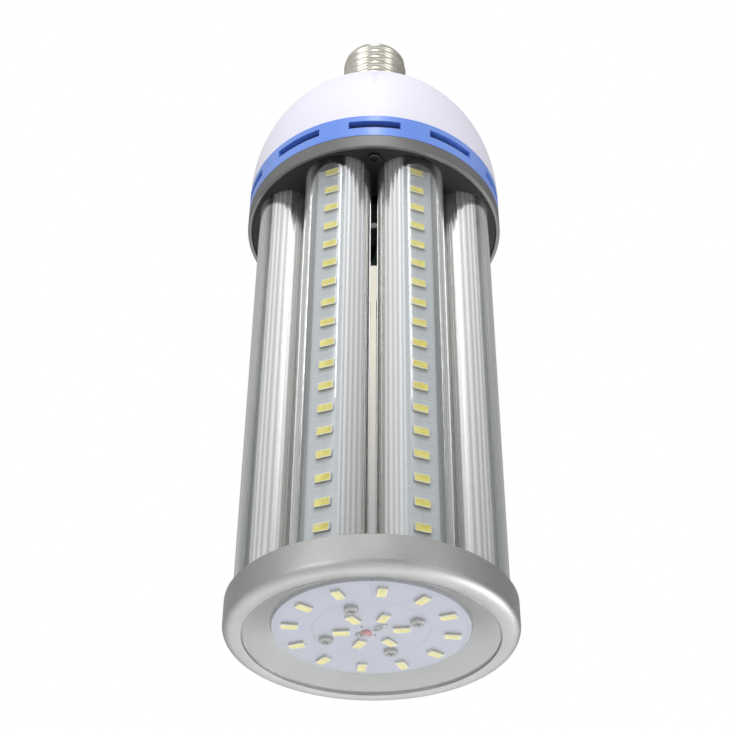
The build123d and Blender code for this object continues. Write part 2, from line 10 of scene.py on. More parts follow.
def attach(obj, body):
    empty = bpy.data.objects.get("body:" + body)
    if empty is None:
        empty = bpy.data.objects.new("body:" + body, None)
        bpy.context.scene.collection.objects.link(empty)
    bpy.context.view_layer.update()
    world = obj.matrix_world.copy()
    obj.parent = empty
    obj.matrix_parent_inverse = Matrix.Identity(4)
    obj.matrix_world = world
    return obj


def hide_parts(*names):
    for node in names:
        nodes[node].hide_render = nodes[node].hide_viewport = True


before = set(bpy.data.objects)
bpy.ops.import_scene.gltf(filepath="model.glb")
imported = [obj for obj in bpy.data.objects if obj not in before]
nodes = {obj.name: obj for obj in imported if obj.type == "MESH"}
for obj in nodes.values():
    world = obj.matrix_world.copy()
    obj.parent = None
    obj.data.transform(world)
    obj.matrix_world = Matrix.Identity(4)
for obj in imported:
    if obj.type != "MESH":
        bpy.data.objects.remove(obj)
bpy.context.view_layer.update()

scene = bpy.context.scene


# The studio: a camera low in front of the lamp that looks up at it, a pale floor that only shows from
# above, a white surround and soft lights. The camera's place and lens were fitted to the photograph.
scene.view_settings.view_transform = "Standard"


def placed(name, data):
    """A new object that shows the data, linked into the scene."""
    made = bpy.data.objects.new(name, data)
    scene.collection.objects.link(made)
    return made


def unseen_by(shape, *rays):
    """Hides an object from the kinds of ray that are named."""
    for ray in rays:
        setattr(shape, "visible_" + ray, False)


camera_place = Vector((-0.00051, -0.39633, -0.19701))
camera_pitch = 0.65608
camera_turn = 0.00595
camera_roll = 0.01047
lens_mm = 68.96

look = bpy.data.cameras.new("camera")
look.lens = lens_mm
look.sensor_width = 36.0
look.clip_start = 0.01
camera = placed("camera", look)
yaw = Matrix.Rotation(camera_turn, 4, "Z")
tilt = Matrix.Rotation(math.pi / 2 + camera_pitch, 4, "X")
roll = Matrix.Rotation(camera_roll, 4, "Z")
camera.matrix_world = Matrix.Translation(camera_place) @ yaw @ tilt @ roll
scene.camera = camera


def operator(operation, swapped=False):
    """A method that adds a Math node for two values, swapped for the reflected form of an operator."""
    if swapped:
        return lambda self, other: self.math(operation, other, self)
    return lambda self, other: self.math(operation, self, other)


class Level:
    """One output in a material's node tree; Python's operators on it add Math nodes."""

    def __init__(self, finish, socket):
        self.finish = finish
        self.socket = socket

    def math(self, operation, *values):
        return self.finish.node("ShaderNodeMath", {"operation": operation}, dict(enumerate(values)))

    __add__ = __radd__ = operator("ADD")
    __mul__ = __rmul__ = operator("MULTIPLY")
    __sub__ = operator("SUBTRACT")
    __rsub__ = operator("SUBTRACT", True)
    __truediv__ = operator("DIVIDE")
    __pow__ = operator("POWER")
    above = operator("GREATER_THAN")
    below = operator("LESS_THAN")
    maximum = operator("MAXIMUM")

    def abs(self):
        return self.math("ABSOLUTE", self)

    def sine(self):
        return self.math("SINE", self)

    def wrap(self, low, high):
        return self.math("WRAP", self, high, low)

    def ramp(self, low, high, start=0.0, end=1.0, kind="LINEAR"):
        """Change from start to end as the level goes from low to high, straight or eased."""
        return self.finish.node("ShaderNodeMapRange", {"clamp": True, "interpolation_type": kind},
                                {0: self, 1: low, 2: high, 3: start, 4: end})


class Finish:
    """A procedural material in the making: node() adds a node of any type and gives one output."""

    def __init__(self, name):
        self.material = bpy.data.materials.new(name)
        self.material.use_nodes = True
        self.tree = self.material.node_tree
        self.tree.nodes.clear()

    def node(self, kind, settings=None, inputs=None, output=0):
        made = self.tree.nodes.new(kind)
        for key, value in (settings or {}).items():
            setattr(made, key, value)
        for key, value in (inputs or {}).items():
            if isinstance(value, Level):
                self.tree.links.new(value.socket, made.inputs[key])
            else:
                made.inputs[key].default_value = value
        return Level(self, made.outputs[output])

    def place(self, stretch=(1.0, 1.0, 1.0)):
        """Object coordinates, stretched along each axis."""
        where = self.node("ShaderNodeTexCoord", output="Object")
        return self.node("ShaderNodeMapping", {}, {"Vector": where, "Scale": stretch})

    def noise(self, scale, detail, stretch=(1.0, 1.0, 1.0)):
        return self.node("ShaderNodeTexNoise", {}, {"Vector": self.place(stretch), "Scale": scale,
                                                    "Detail": detail, "Roughness": 0.55})

    def parts(self, vector):
        """The x, y and z of a vector as three levels."""
        split = self.node("ShaderNodeSeparateXYZ", {}, {0: vector}).socket.node
        return [Level(self, split.outputs[i]) for i in range(3)]

    def blend(self, factor, first, second):
        """Mixes two colours by a level."""
        return self.node("ShaderNodeMix", {"data_type": "RGBA"}, {0: factor, 6: first, 7: second}, 2)

    def bump(self, height, distance, strength):
        return self.node("ShaderNodeBump", {}, {"Strength": strength, "Distance": distance,
                                                "Height": height})

    def principled(self, **sockets):
        named = {key.replace("_", " ").title(): value for key, value in sockets.items()}
        named = {key.replace("Ior", "IOR"): value for key, value in named.items()}
        return self.node("ShaderNodeBsdfPrincipled", {}, named)

    def done(self, shader):
        self.tree.links.new(shader.socket, self.tree.nodes.new("ShaderNodeOutputMaterial").inputs[0])
        return self.material


def two_noises(name, cloud, shade_a, shade_b, skin, rough, relief, strength, **more):
    """A material whose first noise blends its two colours. The second gives its relief, and its
    roughness where rough is a pair of numbers."""
    made = Finish(name)
    fine = made.noise(*skin)
    if isinstance(rough, tuple):
        rough = fine.ramp(0.3, 0.7, *rough)
    shade = made.blend(made.noise(*cloud), shade_a, shade_b)
    return made.done(made.principled(base_color=shade, roughness=rough,
                                     normal=made.bump(fine, relief, strength), **more))


def one_noise(name, grain, shade_a, shade_b, *rest, **more):
    """The same with one noise for everything."""
    return two_noises(name, grain, shade_a, shade_b, grain, *rest, **more)


def bare_metal(name, colour, grain, rough, relief, strength):
    """Metal of one colour whose fine noise gives its gloss and its relief."""
    metal = Finish(name)
    fine = metal.noise(*grain)
    return metal.done(metal.principled(base_color=colour, metallic=1.0, roughness=fine.ramp(0.3, 0.7, *rough),
                                       normal=metal.bump(fine, relief, strength)))


def paint(red, green, blue):
    """A colour read as 0 to 255 values from a screen, turned into linear light."""
    level = np.array([red, green, blue]) / 255
    linear = np.where(level < 0.04045, level / 12.92, ((level + 0.055) / 1.055) ** 2.4)
    return (*linear.tolist(), 1.0)


def soft_light(name, place, width, height, watts, aim=(0.0, 0.0, 0.13)):
    """A rectangular area light that stands at a place and looks at a point."""
    lamp = bpy.data.lights.new(name, "AREA")
    lamp.shape = "RECTANGLE"
    lamp.size = width
    lamp.size_y = height
    lamp.energy = watts
    holder = placed(name, lamp)
    turn = (Vector(aim) - Vector(place)).to_track_quat("-Z", "Y")
    holder.matrix_world = Matrix.LocRotScale(Vector(place), turn, None)
    return holder


front_strip = soft_light("front_strip", (0.03, -1.0, 1.25), 0.11, 0.8, 3.6)
unseen_by(front_strip, "glossy")
high_key = soft_light("high_key", (-0.1, -0.95, 1.45), 1.2, 0.8, 13.0)
unseen_by(high_key, "glossy", "transmission")
soft_light("left_panel", (-0.90, -1.15, 0.16), 0.7, 1.0, 6.5)
soft_light("right_panel", (1.05, -1.00, 0.16), 0.5, 0.9, 2.4)
soft_light("rim_kicker", (0.75, 0.25, -0.55), 0.45, 0.45, 3.2, (0.0, 0.0, 0.0))
table_glow = soft_light("table_glow", (0.0, 0.50, -0.95), 2.2, 2.2, 17.0, (0.0, 0.1, 0.0))
unseen_by(table_glow, "glossy", "transmission")

world = bpy.data.worlds.new("surround")
scene.world = world
world.use_nodes = True
surround = world.node_tree
surround.nodes.clear()
ray, shown, lit, choose, output = [
    surround.nodes.new("ShaderNode" + kind)
    for kind in ("LightPath", "Background", "Background", "MixShader", "OutputWorld")]
shown.inputs["Color"].default_value = (1.0, 1.0, 1.0, 1.0)
lit.inputs["Color"].default_value = (0.95, 0.97, 1.0, 1.0)
lit.inputs["Strength"].default_value = 0.34
surround.links.new(ray.outputs["Is Camera Ray"], choose.inputs[0])
surround.links.new(lit.outputs[0], choose.inputs[1])
surround.links.new(shown.outputs[0], choose.inputs[2])
surround.links.new(choose.outputs[0], output.inputs[0])

# What the metal mirrors is a globe round the studio that only glossy rays see: grey walls, darker on the
# right, a bright band of panels in front and at both sides, a soft box with a narrow bright strip high in
# front, and a light table below. front, east, north and up are parts of the direction from the lamp.
studio_radius = 2.5
globe_finish = Finish("studio_globe")
east, north, up = globe_finish.parts(globe_finish.place((1 / studio_radius,) * 3))
front = (0.0 - north) / (east * east + north * north) ** 0.5
walls = east.ramp(-1.0, 1.0, 0.52, 0.30)
panels = front.ramp(-0.65, 0.1, kind="SMOOTHSTEP") * up.ramp(0.46, 0.72, 0.02, 0.7)
panels = panels * up.ramp(0.74, 0.84, 1.0, 0.2)
soft_box = front.ramp(0.88, 1.0, kind="SMOOTHSTEP") * up.ramp(0.40, 0.85, 0.0, 1.1)
strip_glow = front.ramp(0.990, 1.0, kind="SMOOTHSTEP") * up.ramp(0.50, 0.70, 0.0, 5.0, "SMOOTHSTEP")
strip_glow = strip_glow * up.ramp(0.80, 0.92, 1.0, 0.0, "SMOOTHSTEP")
table = up.ramp(-0.55, -0.1, 1.0, 0.0, "SMOOTHSTEP")
above = walls + panels + soft_box + strip_glow
below = north.ramp(-0.6, 0.6, 0.80, 1.40) + east.ramp(-0.8, 0.8, -0.05, 0.55)
strength = above + table * (below - above)
globe_glow = globe_finish.node("ShaderNodeEmission", {}, {"Color": strength, "Strength": 1.0})
globe_material = globe_finish.done(globe_glow)
globe_material.cycles.emission_sampling = "NONE"
globe_mesh = bpy.data.meshes.new("studio_globe")
globe_work = bmesh.new()
bmesh.ops.create_icosphere(globe_work, subdivisions=4, radius=studio_radius)
globe_work.to_mesh(globe_mesh)
globe_work.free()
globe_mesh.materials.append(globe_material)
globe = placed("studio_globe", globe_mesh)
unseen_by(globe, "camera", "diffuse", "transmission", "shadow")

# The floor is pale paper, seen from above only. It fades out to the white surround at a distance.
floor_size = 3.0
floor_height = -0.0004
fade_start = 0.22
fade_end = 0.75
pale = Finish("pale_floor")
underneath = pale.node("ShaderNodeNewGeometry", output="Backfacing")
paper = pale.principled(base_color=paint(244, 244, 246), roughness=0.9)
clear = pale.node("ShaderNodeBsdfTransparent")
floor_x, floor_y, _ = pale.parts(pale.place())
far = ((floor_x * floor_x + floor_y * floor_y) ** 0.5).ramp(fade_start, fade_end, kind="SMOOTHSTEP")
fade = far.maximum(underneath)
floor_material = pale.done(pale.node("ShaderNodeMixShader", {}, {0: fade, 1: paper, 2: clear}))
floor_mesh = bpy.data.meshes.new("floor")
floor_corners = [(x * floor_size, y * floor_size, floor_height)
                 for x, y in ((-1, -1), (1, -1), (1, 1), (-1, 1))]
floor_mesh.from_pydata(floor_corners, [], [(0, 1, 2, 3)])
floor_mesh.materials.append(floor_material)
floor = placed("floor", floor_mesh)
unseen_by(floor, "diffuse", "glossy", "transmission", "shadow")


# A light card stands close behind the rear gap and is folded forward under the head. It stands for the
# pale paper that shows through the lamp in the photograph. It glows with painted light, dimmer towards the
# bottom, and it faces the camera and is clear from behind.
card_x = 0.0046
card_y = 0.0402
card_low = 0.030
card_high = 0.1695
card_fold = 0.0157
card_bend = 0.160
card_step = 0.0002
card = Finish("painted_light_card")
# painted light: the card's glow goes from grey at the bottom to pale warm white at the top
card_painted_falloff = card.parts(card.place())[2].ramp(0.07, 0.15)
card_painted_light = card.blend(card_painted_falloff, paint(176, 176, 176), paint(232, 228, 214))
card_glow = card.node("ShaderNodeEmission", {}, {"Color": card_painted_light, "Strength": 1.0})
card_back = card.node("ShaderNodeNewGeometry", output="Backfacing")
card_clear = card.node("ShaderNodeBsdfTransparent")
card_sides = {0: card_back, 1: card_glow, 2: card_clear}
card_material = card.done(card.node("ShaderNodeMixShader", {}, card_sides))
card_mesh = bpy.data.meshes.new("gap_card")
card_rows = ((card_x, card_y, card_low), (card_x, card_y, card_high),
             (card_x / 2, card_y - card_step, card_bend), (card_x / 2, card_fold, card_high))
card_corners = [(side * x, y, z) for x, y, z in card_rows for side in (-1, 1)]
card_mesh.from_pydata(card_corners, [], [(0, 1, 3, 2), (6, 4, 5, 7)])
card_mesh.materials.append(card_material)
card_object = placed("gap_card", card_mesh)
unseen_by(card_object, "diffuse", "glossy", "shadow")


# The foot: one turned aluminium disc, bead-blasted and sprayed satin. Its rim is rounded outside and has
# a step for the lens, then a smooth cone down to the board. The bars stand on its flat back, and screws
# through it hold them.
foot_radius = 0.0465
foot_height = 0.0112
foot_round = 0.0030
foot_bevel = 0.0004
rim_inner = 0.0404
rim_round = 0.0005
rim_turn = 0.00015
lens_seat = 0.0011
lens_low = 0.00035
lens_high = 0.00100
cone_top = 0.0046
pocket_radius = 0.0315
board_back = 0.0054
relief_radius = 0.021
relief_floor = 0.0084


def arc(centre_x, centre_y, radius, first, last, steps):
    """Points on a circle's arc from one angle to another, in degrees."""
    angle = np.radians(np.linspace(first, last, steps))
    return np.stack([centre_x + radius * np.cos(angle), centre_y + radius * np.sin(angle)], 1)


def net(rows, steps, closed=False):
    """Quads between the rows of a grid of points. Each row runs round in steps, and in a closed net the
    last row joins the first."""
    row, column = np.meshgrid(np.arange(rows if closed else rows - 1), np.arange(steps), indexing="ij")
    next_row = (row + 1) % rows
    after = (column + 1) % steps
    return np.stack([row * steps + column, row * steps + after,
                     next_row * steps + after, next_row * steps + column], 2).reshape(-1, 4)


def revolved(outline, steps):
    """Surface of a closed (radius, height) outline turned round the lamp's axis: each outline point
    becomes a circle of its radius at its height."""
    outline = np.asarray(outline, float)
    turn = np.linspace(0, 2 * np.pi, steps, endpoint=False)
    radius = outline[:, 0][:, None]
    points = np.stack([radius * np.cos(turn), radius * np.sin(turn),
                       np.repeat(outline[:, 1][:, None], steps, 1)], 2).reshape(-1, 3)
    return points, net(len(outline), steps, True)


def piece(name, points, faces, materials, sharp=32.0, material_index=None, uv=None):
    """Puts points and faces into a mesh, closes seams and poles, turns faces out, and lets it ride on
    the lamp."""
    mesh = bpy.data.meshes.new(name)
    mesh.from_pydata(np.asarray(points).tolist(), [], [list(map(int, f)) for f in faces])
    for material in materials if isinstance(materials, list) else [materials]:
        mesh.materials.append(material)
    if material_index is not None:
        mesh.polygons.foreach_set("material_index", np.asarray(material_index, np.int32))
    if uv is not None:
        layer = mesh.uv_layers.new(name="surface")
        loops = np.empty(len(mesh.loops), np.int32)
        mesh.loops.foreach_get("vertex_index", loops)
        layer.data.foreach_set("uv", np.asarray(uv, np.float32)[loops].ravel())
    work = bmesh.new()
    work.from_mesh(mesh)
    bmesh.ops.remove_doubles(work, verts=work.verts, dist=1e-7)
    bmesh.ops.recalc_face_normals(work, faces=work.faces)
    work.to_mesh(mesh)
    work.free()
    mesh.shade_smooth()
    mesh.set_sharp_from_angle(angle=math.radians(sharp))
    made = placed(name, mesh)
    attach(made, "lamp")
    return made


def sprayed_aluminium(name, tone, smooth_and_shaded_within):
    """Satin sprayed aluminium: fine grain in bump and tone, smoother within a radius, where the colour is
    also painted darker as painted shade.
    """
    satin = Finish(name)
    fine = satin.noise(2600.0, 2.0)
    level = satin.noise(70.0, 2.0) * 0.3 + fine * 0.7
    low = (tone * 0.84, tone * 0.84, tone * 0.83, 1)
    high = (tone * 1.15, tone * 1.15, tone * 1.14, 1)
    shade = satin.blend(level.ramp(0.3, 0.7), low, high)
    x, y, _ = satin.parts(satin.place())
    outside = ((x * x + y * y) ** 0.5).above(smooth_and_shaded_within)
    # painted shade: within the radius the colour is blended half way to dark grey
    shade = satin.blend((1.0 - outside) * 0.5, shade, (0.10, 0.10, 0.10, 1))
    rough = fine.ramp(0.3, 0.7, 0.36, 0.5) * (0.5 + outside * 0.5)
    return satin.done(satin.principled(base_color=shade, metallic=0.92, roughness=rough,
                                       normal=satin.bump(fine * (0.06 + outside * 0.94), 0.00015, 0.65)))


foot_outline = np.concatenate([
    [(0, board_back), (pocket_radius, board_back), (pocket_radius, cone_top),
     (rim_inner - lens_seat, lens_high), (rim_inner, lens_high), (rim_inner, rim_round),
     (rim_inner + rim_turn, rim_turn), (rim_inner + rim_round, 0.0)],
    arc(foot_radius - foot_round, foot_round, foot_round, -90, 0, 14),
    [(foot_radius, foot_height - foot_bevel), (foot_radius - foot_bevel, foot_height),
     (relief_radius, foot_height), (relief_radius, relief_floor), (0, relief_floor)]])
foot_finish = sprayed_aluminium("sprayed_aluminium_foot", 0.42, 0.0402)
foot = piece("foot_disc", *revolved(foot_outline, 200), foot_finish)
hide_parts("end_cap")


# The lens: a clear disc glued into the step of the rim. It is seen mostly by what it mirrors, and a faint
# haze from handling lies on its face.
lens_radius = 0.0403
lens_bevel = 0.0003
lens_seat_gap = 0.00005


def polished_sheet(name, tint):
    """Thin clear disc: tinted see-through, with a mirror share that grows towards a flat view. The index
    is turned over on inner faces so that both sides mirror alike."""
    sheet = Finish(name)
    inner = sheet.node("ShaderNodeNewGeometry", output="Backfacing")
    mirror_share = sheet.node("ShaderNodeFresnel", {}, {"IOR": 1.49 + inner * (1 / 1.49 - 1.49)})
    film = sheet.noise(55.0, 2.0)
    gloss = sheet.node("ShaderNodeBsdfGlossy", {}, {"Roughness": film.ramp(0.35, 0.75, 0.02, 0.09),
                                                    "Normal": sheet.bump(film, 0.00002, 0.2)})
    see = sheet.node("ShaderNodeBsdfTransparent", {}, {"Color": tint})
    return sheet.done(sheet.node("ShaderNodeMixShader", {}, {0: mirror_share, 1: see, 2: gloss}))


lens_outline = [(0, lens_low), (lens_radius - lens_bevel, lens_low), (lens_radius, lens_low + lens_bevel),
                (lens_radius, lens_high - lens_seat_gap), (0, lens_high - lens_seat_gap)]
lens_finish = polished_sheet("clear_lens", (0.978, 0.984, 0.984, 1))
lens = piece("end_lens_disc", *revolved(lens_outline, 200), lens_finish)
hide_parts("end_lens")


# The lit end's board: aluminium-core board with a pale bluish solder mask, held by four cross-head
# screws. Copper lands under the mask show as faint outlines round each LED.
board_radius = 0.0312
board_low = 0.0038
board_gap = 0.00001
land_split = 0.0185
land_edge = 0.0302


def solder_mask(name, land_mask, cut_shade, land_shade):
    """Pale solder mask with a slight sheen; land_mask makes the copper lands under it."""
    mask = Finish(name)
    land = land_mask(mask)
    speckle = mask.noise(900.0, 2.0)
    shade = mask.blend(land, cut_shade, land_shade)
    mixed = mask.blend(speckle.ramp(0.62, 0.7, 0.0, 0.12), shade, paint(160, 168, 190))
    return mask.done(mask.principled(base_color=mixed, roughness=0.38, coat_weight=0.25,
                                     coat_roughness=0.2, normal=mask.bump(land, 0.00004, 0.8)))


def ring_lands(mask):
    """Copper fields of the round board: rings parted by thin radial and round cuts."""
    x, y, _ = mask.parts(mask.place())
    radius = (x * x + y * y) ** 0.5
    round_cut = (radius - land_split).abs().above(0.00035)
    edge_cut = (radius - land_edge).abs().above(0.0003)
    turn = y.math("ARCTAN2", y, x)
    sector = (turn * (12 / math.tau)).wrap(-0.5, 0.5).abs()
    radial_cut = sector.above(0.012)
    outer = radius.above(land_split)
    return round_cut * edge_cut * (1.0 - outer * (1.0 - radial_cut))


board_outline = [(0, board_low), (board_radius, board_low), (board_radius, board_back - board_gap),
                 (0, board_back - board_gap)]
board_finish = solder_mask("end_board_mask", ring_lands, paint(154, 156, 174), paint(166, 168, 186))
end_board = piece("end_board_disc", *revolved(board_outline, 160), board_finish)
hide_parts("end_board")


# LED packages: white moulded body 5.6 by 3.0 mm with tinned ends, a yellow phosphor window, and side walls
# painted a dark olive as painted shade. Twelve lie on the outer ring of the round board and six on the inner
# one, soldered, all pointing outwards.
led_length = 0.0056
led_width = 0.0030
led_height = 0.0009
window_margin = 0.00026
window_depth = 0.00012
window_slope = 0.0003
window_corner = 0.0003
corner = 0.00035
top_bevel = 0.0001
tab_length = 0.0004
tab_half_width = 0.0011
tab_height = 0.00055


def rounded_box_ring(length, width, radius, height):
    """Twelve points round a rectangle with rounded corners at one height, long side along x."""
    ring = np.concatenate([
        arc(x * (length / 2 - radius), y * (width / 2 - radius), radius, first, first + 90, 3)
        for x, y, first in ((1, 1, 0), (-1, 1, 90), (-1, -1, 180), (1, -1, 270))])
    return np.concatenate([ring, np.full((len(ring), 1), height)], 1)


def led_package():
    """One package lying on z = 0: rings of a rounded rectangle from its foot up and into the window,
    then two tinned end tabs. Gives points, faces and each face's material number."""
    white, yellow, metal, wall = range(4)
    body_length = led_length - tab_length
    window_length = led_length - 2 * window_margin - 2 * top_bevel
    window_width = led_width - 2 * window_margin
    sizes = [(body_length, led_width, corner, 0.0),
             (body_length, led_width, corner, led_height - top_bevel),
             (body_length - 2 * top_bevel, led_width - 2 * top_bevel, corner, led_height),
             (window_length, window_width, window_corner, led_height),
             (window_length - window_slope, window_width - window_slope, window_corner,
              led_height - window_depth)]
    rings = np.concatenate([rounded_box_ring(*size) for size in sizes])
    count = len(rings) // len(sizes)
    faces = net(len(sizes), count).tolist()
    faces += [list(range(len(rings) - count, len(rings))), list(range(count - 1, -1, -1))]
    kinds = [wall] * count + [white] * 2 * count + [yellow] * (count + 1) + [white]
    points = [rings]
    for side in (-1, 1):
        start = sum(len(p) for p in points)
        ends = sorted((side * (led_length / 2 - tab_length), side * led_length / 2))
        points.append(np.array([(x, y, z) for x in ends for y in (-tab_half_width, tab_half_width)
                                for z in (0.0, tab_height)]))
        for quad in ((0, 1, 3, 2), (4, 6, 7, 5), (0, 4, 5, 1), (2, 3, 7, 6), (0, 2, 6, 4), (1, 5, 7, 3)):
            faces.append([start + q for q in quad])
            kinds.append(metal)
    return np.concatenate(points), faces, kinds


def copies(points, faces, kinds, matrices):
    """The same small mesh set down at each 4 by 4 matrix, as one mesh."""
    matrices = np.asarray(matrices)
    flat = np.concatenate([points, np.ones((len(points), 1))], 1)
    moved = np.einsum("kij,vj->kvi", matrices, flat)[:, :, :3].reshape(-1, 3)
    all_faces = [[index + k * len(points) for index in face]
                 for k in range(len(matrices)) for face in faces]
    return moved, all_faces, list(kinds) * len(matrices)


def face_down(circle, angle):
    """Matrix that sets a small piece face down on a circle of the board, its long side outwards."""
    turn = Matrix.Rotation(math.radians(angle), 4, "Z")
    return np.array(turn @ Matrix.Translation((circle, 0, board_low)) @ Matrix.Rotation(math.pi, 4, "X"))


led_body_finish = two_noises("led_body", (700.0, 2.0), paint(226, 226, 220), paint(246, 246, 242),
                             (3000.0, 3.0), 0.45, 0.00001, 0.4)
tinned_finish = bare_metal("tinned", (0.72, 0.73, 0.74, 1), (1500.0, 3.0), (0.2, 0.42), 0.00003, 0.6)
# painted shade: the side walls get a dark olive colour in place of the white body's
wall_painted_shade_finish = one_noise("led_wall_painted_shade", (1200.0, 2.0), paint(142, 138, 104), paint(176, 172, 140), 0.5,
                        0.00001, 0.4)

phosphor = Finish("phosphor")
silt = phosphor.noise(2600.0, 3.0)
cloudy = phosphor.noise(420.0, 2.0)
gel = phosphor.blend(cloudy.ramp(0.3, 0.7), paint(232, 216, 92), paint(244, 234, 136))
gel = phosphor.blend(silt.ramp(0.45, 0.8, 0.0, 0.4), gel, paint(204, 170, 60))
phosphor_finish = phosphor.done(phosphor.principled(base_color=gel, roughness=0.28, coat_weight=0.4,
                                                    coat_roughness=0.12,
                                                    normal=phosphor.bump(silt, 0.00001, 0.5)))

led_finishes = [led_body_finish, phosphor_finish, tinned_finish, wall_painted_shade_finish]

end_led_rings = ((0.0257, 12, 6.8), (0.00953, 6, 23.1))
end_led_places = [face_down(circle, phase - 90 + k * 360 / count)
                  for circle, count, phase in end_led_rings for k in range(count)]
package = led_package()
points, faces, kinds = copies(*package, end_led_places)
end_leds = piece("end_led_packages", points, faces, led_finishes, material_index=kinds, sharp=40.0)
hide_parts("end_leds")


# The leads of the round board: two short tinned wires come through its middle hole and end in solder
# cones on the board. A drop of red silicone covers one, and two dots of flux lie beside them.
lead_way = math.radians(-39.2)
lead_start = 0.0011
pad_reach = 0.0050
lead_radius = 0.00042
lead_clear = 0.0006
lead_sag = 0.0004
solder_cone = (0.0013, 0.0012, 0.0010)
silicone_drop = (0.0020, 0.0015, 0.00125)
flux_dot = (0.0004, 0.0004, 0.0003)


def drop(x, y, half_length, half_width, height, turn, lumps, steps=28, rows=10):
    """Half ellipsoid hanging from the board, its radius made uneven by a slow wave round it."""
    around = np.linspace(0, math.tau, steps, endpoint=False)[None, :]
    down = np.linspace(0, math.pi / 2, rows)[:, None]
    swell = 1 + lumps * np.sin(3 * around + 1) * np.cos(down)
    a = half_length * swell * np.cos(down) * np.cos(around)
    b = half_width * swell * np.cos(down) * np.sin(around)
    points = np.stack([x + a * math.cos(turn) - b * math.sin(turn),
                       y + a * math.sin(turn) + b * math.cos(turn),
                       board_low - height * np.sin(down) + 0 * around], 2).reshape(-1, 3)
    return points, net(rows, steps).tolist() + [list(range(steps))]


def wire(path, radius, steps=12):
    """Round wire along a list of points, its rings square to the path's direction."""
    path = np.asarray(path, float)
    along = np.gradient(path, axis=0)
    along /= np.linalg.norm(along, axis=1)[:, None]
    side = np.cross(along, (0, 0, 1.0))
    side /= np.linalg.norm(side, axis=1)[:, None]
    up = np.cross(side, along)
    turn = np.linspace(0, math.tau, steps, endpoint=False)
    rings = path[:, None] + radius * (np.cos(turn)[None, :, None] * side[:, None]
                                      + np.sin(turn)[None, :, None] * up[:, None])
    return rings.reshape(-1, 3), net(len(path), steps).tolist()


def joined(parts):
    """Several (points, faces) pairs as one, with the number of the pair kept for each face."""
    points, faces, kinds = [], [], []
    start = 0
    for number, (part_points, part_faces) in parts:
        points.append(part_points)
        faces += [[start + i for i in face] for face in part_faces]
        kinds += [number] * len(part_faces)
        start += len(part_points)
    return np.concatenate(points), faces, kinds


lead_parts = []
for side in (-1, 1):
    way = np.array([side * math.cos(lead_way), side * math.sin(lead_way)])
    run = np.linspace(lead_start, pad_reach, 9)
    sag = board_low - lead_clear - lead_sag * np.sin(np.linspace(0, math.pi, 9))
    lead_parts += [(1, wire(np.stack([run * way[0], run * way[1], sag], 1), lead_radius)),
                   (1, drop(pad_reach * way[0], pad_reach * way[1], *solder_cone, 0.4, 0.08))]
lead_parts += [(0, drop(-0.0014, 0.0016, *silicone_drop, 0.9, 0.14)),
               (2, drop(-0.00306, -0.00188, *flux_dot, 0, 0.0)),
               (2, drop(0.00114, 0.00349, *flux_dot, 0, 0.0))]
points, faces, kinds = joined(lead_parts)

silicone_finish = one_noise("red_silicone", (1400.0, 3.0), paint(168, 40, 36), paint(196, 66, 60), 0.32,
                            0.0001, 0.5, coat_weight=0.3)
solder_finish = one_noise("dull_solder", (1600.0, 3.0), (0.26, 0.26, 0.27, 1), (0.42, 0.42, 0.43, 1),
                          (0.4, 0.6), 0.0002, 0.7, metallic=0.9)
flux_finish = one_noise("flux", (1800.0, 3.0), paint(70, 66, 60), paint(96, 90, 82), (0.3, 0.5),
                        0.0001, 0.5)
leads = piece("end_leads_soldered", points, faces, [silicone_finish, solder_finish, flux_finish],
              material_index=kinds, sharp=50.0)
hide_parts("end_board_leads")


# The bars: aluminium extruded as a ribbed half-round with a deck for the LED strip, lips beside it and a
# screw channel at the back. Cut to length and held by a screw at each end.
bar_count = 8
bar_ring = 0.03435
bar_radius = 0.0120
bar_low = 0.0112
bar_high = 0.17045
cover_angle = 74.5
rib_angles = (76, 81, 86, 91, 96, 101)
rib_turns = (1.4, 1.8, 3.2, 3.6)
rib_depth = 0.00055
back_turn = 4
deck_face = 0.00361
deck_thickness = 0.0018
lip_outer = 0.0100
lip_inner = 0.0091
lip_angle = 60.0
wall_inner = 0.0103


def mirrored(outline):
    """The same outline on the other side of the bar, run the other way."""
    flipped = np.asarray(outline)[::-1].copy()
    flipped[:, 1] *= -1
    return flipped


def bar_section():
    """Outer outline of the extrusion and its hollow, measured from the bar's centre: x away from the
    lamp's axis, y across. The ribs are flat-topped teeth on the round."""
    rows = [(bar_radius, cover_angle)]
    levels = (bar_radius, bar_radius - rib_depth, bar_radius - rib_depth, bar_radius)
    for angle in rib_angles:
        rows += [(level, angle + turn) for level, turn in zip(levels, rib_turns)]
    table = np.array(rows)
    turn = np.radians(table[:, 1])
    ribs = np.stack([table[:, 0] * np.cos(turn), table[:, 0] * np.sin(turn)], 1)
    half_back = arc(0, 0, bar_radius, rib_angles[-1] + rib_turns[-1] + back_turn, 180, 14)
    half = np.concatenate([ribs, half_back])
    lip_foot = math.degrees(math.acos(deck_face / lip_inner))
    lip = np.concatenate([arc(0, 0, lip_inner, lip_foot, lip_angle, 4),
                          arc(0, 0, lip_outer, lip_angle, cover_angle, 6)])
    outer = np.concatenate([half, mirrored(half)[1:], mirrored(lip), lip])
    start = math.degrees(math.acos((deck_face - deck_thickness) / wall_inner))
    hollow = arc(0, 0, wall_inner, start, 360 - start, 28)
    return outer, hollow


